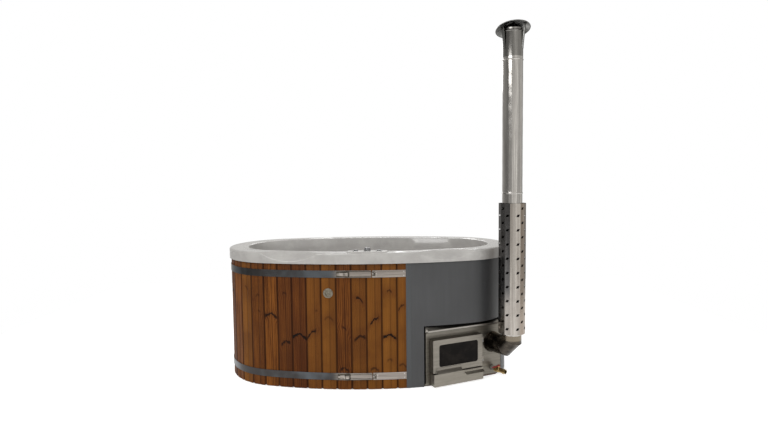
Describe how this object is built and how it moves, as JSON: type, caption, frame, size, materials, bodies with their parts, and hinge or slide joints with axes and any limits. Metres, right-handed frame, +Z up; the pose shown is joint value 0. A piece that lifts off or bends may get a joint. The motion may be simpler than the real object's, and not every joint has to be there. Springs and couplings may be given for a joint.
{
  "type": "japanese soaking tub",
  "caption": "Oval soaking tub with wood staves, sheet-metal casing, moulded basin, built-in wood stove with door and ash drawer, flue with heat shield and rain cap, drain valve",
  "frame": {"origin": "on the floor under the middle of the tub's oval", "axes": "+Z up, +X along the tub towards the stove end, -Y towards the front with the controls and the stove door"},
  "size_m": [2.2239, 1.1448, 2.5547],
  "materials": {
    "wood": "matt",
    "frame_timber": "matt",
    "base_board": "matt",
    "casing": "satin",
    "strap_steel": "satin",
    "latch_steel": "satin",
    "shell": "gloss",
    "control_trim": "polished",
    "control_black": "gloss",
    "knob_grey": "satin",
    "drain_plastic": "matt",
    "water_rubber": "matt",
    "stove_steel": "matt",
    "grate_iron": "matt",
    "door_steel": "satin",
    "hinge_steel": "satin",
    "door_glass": "gloss",
    "flue_steel": "satin",
    "valve_brass": "satin",
    "valve_red": "gloss"
  },
  "bodies": {
    "tub": {"base_plate": "base_board", "basin": "shell", "basin_rim": "shell", "basin_well": "shell", "bearers": "frame_timber", "bezels": "control_trim", "cap_cone": "flue_steel", "cap_legs": "flue_steel", "cap_sleeve": "flue_steel", "casing_end": "casing", "casing_front": "casing", "casing_rear": "casing", "casing_trims": "strap_steel", "drain_pipe": "drain_plastic", "face_panel": "casing", "fire_grate": "grate_iron", "floor_drain": "control_trim", "flue_elbow": "flue_steel", "heat_shield": "flue_steel", "hinge_brackets": "hinge_steel", "hinge_pins": "hinge_steel", "hood_strip": "casing", "hoop_lower": "strap_steel", "hoop_rivets": "strap_steel", "hoop_upper": "strap_steel", "inlet_grilles": "control_trim", "latch_base_lower": "latch_steel", "latch_base_upper": "latch_steel", "latch_eye_lower": "latch_steel", "latch_eye_upper": "latch_steel", "lower_pipe": "flue_steel", "lower_rail": "frame_timber", "outlet_nut": "valve_brass", "overflow_fitting": "control_trim", "overflow_pipe": "drain_plastic", "shield_spacers": "flue_steel", "staves_front": "wood", "staves_front_left": "wood", "staves_left_end": "wood", "staves_rear": "wood", "staves_rear_left": "wood", "stove_body": "stove_steel", "studs": "frame_timber", "upper_pipe": "flue_steel", "upper_rail": "frame_timber", "valve_body": "valve_brass", "water_pipes": "water_rubber"},
    "stove_door": {"door_shell": "door_steel", "door_glass": "door_glass", "glass_clips": "door_steel", "door_pull": "door_steel"},
    "ash_drawer": {"ash_drawer": "door_steel"},
    "latch_lever_upper": {"latch_lever_upper": "latch_steel"},
    "latch_lever_lower": {"latch_lever_lower": "latch_steel"},
    "latch_bail_upper": {"latch_bail_upper": "latch_steel"},
    "latch_bail_lower": {"latch_bail_lower": "latch_steel"},
    "valve_lever": {"valve_handle": "valve_red"},
    "button_left": {"button_left": "control_black"},
    "button_right": {"button_right": "control_black"},
    "air_knob": {"air_knob": "knob_grey"}
  },
  "joints": [
    {"name": "stove_door_hinge", "type": "hinge", "parent": "tub", "child": "stove_door", "pos_m": [0.82975, -0.37881, 0.222], "axis": [0, 0, 1], "range_deg": [0, 100]},
    {"name": "ash_drawer_slide", "type": "slide", "parent": "tub", "child": "ash_drawer", "axis": [0.3987, -0.9171, 0], "range_m": [0, 0.25]},
    {"name": "valve_lever_turn", "type": "hinge", "parent": "tub", "child": "valve_lever", "pos_m": [0.95564, -0.34629, 0.088], "axis": [0, 0, 1], "range_deg": [0, 90]},
    {"name": "latch_lever_upper_turn", "type": "hinge", "parent": "tub", "child": "latch_lever_upper", "pos_m": [-0.14438, -0.56736, 0.82], "axis": [0, 0, 1], "range_deg": [0, 110]},
    {"name": "latch_bail_upper_turn", "type": "hinge", "parent": "tub", "child": "latch_bail_upper", "pos_m": [0.04498, -0.5709, 0.82], "axis": [0, 0, 1], "range_deg": [0, 45]},
    {"name": "latch_lever_lower_turn", "type": "hinge", "parent": "tub", "child": "latch_lever_lower", "pos_m": [-0.14438, -0.56736, 0.098], "axis": [0, 0, 1], "range_deg": [0, 110]},
    {"name": "latch_bail_lower_turn", "type": "hinge", "parent": "tub", "child": "latch_bail_lower", "pos_m": [0.04498, -0.5709, 0.098], "axis": [0, 0, 1], "range_deg": [0, 45]},
    {"name": "button_left_press", "type": "slide", "parent": "tub", "child": "button_left", "axis": [0, 0, -1], "range_m": [0, 0.004], "stiffness_N_per_m": 400, "springref_m": -0.001},
    {"name": "button_right_press", "type": "slide", "parent": "tub", "child": "button_right", "axis": [0, 0, -1], "range_m": [0, 0.004], "stiffness_N_per_m": 400, "springref_m": -0.001},
    {"name": "air_knob_turn", "type": "hinge", "parent": "tub", "child": "air_knob", "pos_m": [-0.003, -0.508, 0.978], "axis": [0, 0, 1], "range_deg": [0, 270]}
  ],
  "couplings": [
    {"joint": "latch_bail_upper_turn", "follows": "latch_lever_upper_turn", "ratio": 0.35},
    {"joint": "latch_bail_lower_turn", "follows": "latch_lever_lower_turn", "ratio": 0.35}
  ]
}
